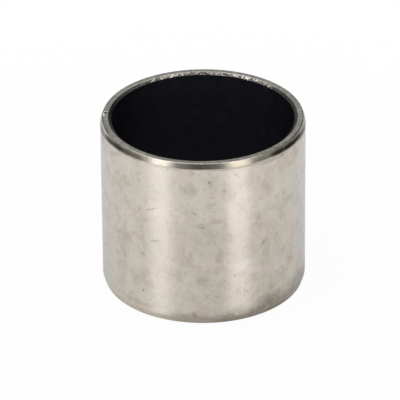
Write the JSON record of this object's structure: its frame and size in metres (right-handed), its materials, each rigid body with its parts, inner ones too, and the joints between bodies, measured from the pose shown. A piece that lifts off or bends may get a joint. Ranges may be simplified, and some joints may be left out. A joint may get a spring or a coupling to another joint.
{
  "type": "sleeve bearing",
  "caption": "Rolled sleeve bearing with a plated steel back, a sintered bronze layer and a black PTFE-lined bore; it presses into a housing and carries a shaft.",
  "frame": {"origin": "centre of the lower end, on the axis of the bore, at the level that the sleeve stands on", "axes": "+Z along the bore, from the lower end to the upper end; the butt joint lies on the -X side"},
  "size_m": [0.028, 0.028, 0.0248],
  "materials": {
    "plated_steel": "thin warm-grey plating over rolled steel strip, lightly stained and scuffed",
    "sintered_bronze": "porous sintered grains, cut open at the chamfers",
    "filled_ptfe": "smooth dull blue-black film"
  },
  "bodies": {
    "root": {"steel_backing": "plated_steel", "bronze_layer": "sintered_bronze", "ptfe_lining": "filled_ptfe"}
  },
  "joints": []
}
